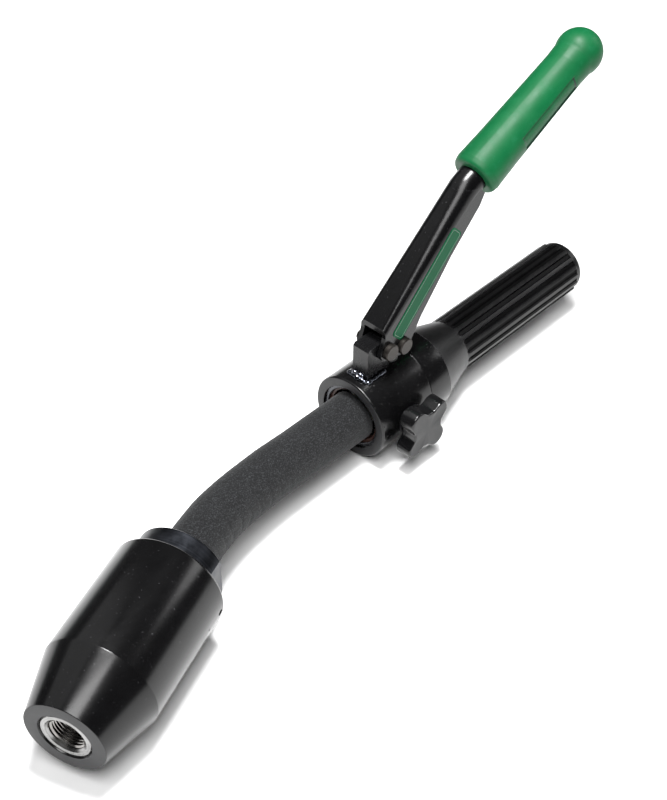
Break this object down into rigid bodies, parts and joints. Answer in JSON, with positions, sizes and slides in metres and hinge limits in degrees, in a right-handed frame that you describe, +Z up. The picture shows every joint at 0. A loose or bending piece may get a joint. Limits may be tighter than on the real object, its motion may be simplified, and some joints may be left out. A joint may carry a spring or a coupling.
{
  "type": "hydraulic knockout punch driver",
  "caption": "Hand-pumped hydraulic punch driver: a fluted-handle pump with a squeeze lever and release knob, a foam-covered hose, and a ram with a threaded pulling rod.",
  "frame": {"origin": "centre of the mouth of the ram rod's draw stud thread, at the full thread's outer end", "axes": "+X runs along the pump's axis towards the end of its handle, +Z is up on the lever's side, and the release knob is on the -Y side; the ram lies along -X, turned towards -Y"},
  "size_m": [0.4471, 0.0998, 0.1917],
  "materials": {
    "black_paint": "gloss",
    "dark_steel": "dark satin",
    "weld_steel": "glossy bead",
    "bright_steel": "machined",
    "pin_steel": "dark, slightly rusty",
    "spring_steel": "drawn wire",
    "fitting_steel": "zinc plated",
    "strainer_brass": "plain",
    "handle_plastic": "satin",
    "knob_plastic": "gloss",
    "grip_vinyl": "satin",
    "label_film": "satin",
    "foam": "fine open skin",
    "hose_rubber": "matte",
    "seal_rubber": "matte",
    "red_rubber": "matte"
  },
  "bodies": {
    "pump": {"collar_sleeve": "black_paint", "rear_ring": "black_paint", "pump_block": "bright_steel", "lever_bracket": "dark_steel", "bracket_weld": "weld_steel", "mouth_snap_ring": "spring_steel", "mouth_seal_ring": "red_rubber", "plunger_gland": "dark_steel", "plunger_o_ring": "seal_rubber", "release_boss": "dark_steel", "release_o_ring": "seal_rubber", "relief_ball": "bright_steel", "relief_spring": "spring_steel", "relief_screw": "dark_steel", "outlet_ball": "bright_steel", "outlet_spring": "spring_steel", "outlet_plug": "dark_steel", "suction_seat": "bright_steel", "suction_ball": "bright_steel", "suction_spring": "spring_steel", "suction_strainer": "strainer_brass", "reservoir_bladder": "seal_rubber", "bladder_clamp": "bright_steel", "handle_shell": "handle_plastic", "fill_plug": "knob_plastic", "fill_plug_o_ring": "seal_rubber", "pump_hose_fitting": "fitting_steel"},
    "lever": {"lever_arm": "black_paint", "lever_grip": "grip_vinyl", "pivot_pin": "pin_steel", "crank_pin": "pin_steel", "pin_retaining_rings": "spring_steel", "label_plate": "label_film"},
    "plunger": {"pump_plunger": "bright_steel"},
    "release_stem": {"release_needle": "bright_steel"},
    "release_knob": {"release_knob": "knob_plastic", "knob_set_screw": "dark_steel"},
    "hose": {"hose_core": "hose_rubber", "foam_sleeve": "foam"},
    "ram": {"ram_cylinder": "black_paint", "ram_rear_cap": "dark_steel", "cap_o_rings": "seal_rubber", "cap_set_screw": "dark_steel", "rod_seal": "seal_rubber", "rod_wiper": "seal_rubber", "return_spring": "spring_steel", "ram_hose_fitting": "fitting_steel"},
    "piston": {"ram_piston": "bright_steel", "piston_seal": "seal_rubber"}
  },
  "joints": [
    {"name": "lever_hinge", "type": "hinge", "parent": "pump", "child": "lever", "pos_m": [0.26257, 0.05368, 0.0359], "axis": [0, 1, 0], "range_deg": [-16, 34]},
    {"name": "plunger_slide", "type": "slide", "parent": "pump", "child": "plunger", "axis": [0, 0, -1], "range_m": [-0.0031, 0.0065]},
    {"name": "release_slide", "type": "slide", "parent": "pump", "child": "release_stem", "axis": [0, -1, 0], "range_m": [0, 0.0011]},
    {"name": "release_turn", "type": "hinge", "parent": "release_stem", "child": "release_knob", "pos_m": [0.26427, 0.02068, -0.0048], "axis": [0, -1, 0], "range_deg": [0, 300]},
    {"name": "hose_bend_pump", "type": "hinge", "parent": "pump", "child": "hose", "pos_m": [0.20667, 0.05368, -0.0046], "axis": [0, 0, 1], "range_deg": [-41, 21], "stiffness_Nm_per_rad": 1.5, "deforming": ["foam_sleeve", "hose_core"]},
    {"name": "hose_bend_ram", "type": "hinge", "parent": "hose", "child": "ram", "pos_m": [0.13667, 0.04808, -0.0009], "axis": [0, 0, 1], "range_deg": [-41, 21], "stiffness_Nm_per_rad": 1.5},
    {"name": "ram_stroke", "type": "slide", "parent": "ram", "child": "piston", "axis": [0.9391, 0.3437, 0], "range_m": [0, 0.022], "stiffness_N_per_m": 4000, "springref_m": -0.01, "deforming": ["return_spring"]}
  ],
  "couplings": [
    {"joint": "plunger_slide", "follows": "lever_hinge", "m_per_rad": 0.01077},
    {"joint": "release_slide", "follows": "release_turn", "m_per_rad": 0.00019894},
    {"joint": "hose_bend_pump", "follows": "hose_bend_ram", "ratio": 1}
  ]
}
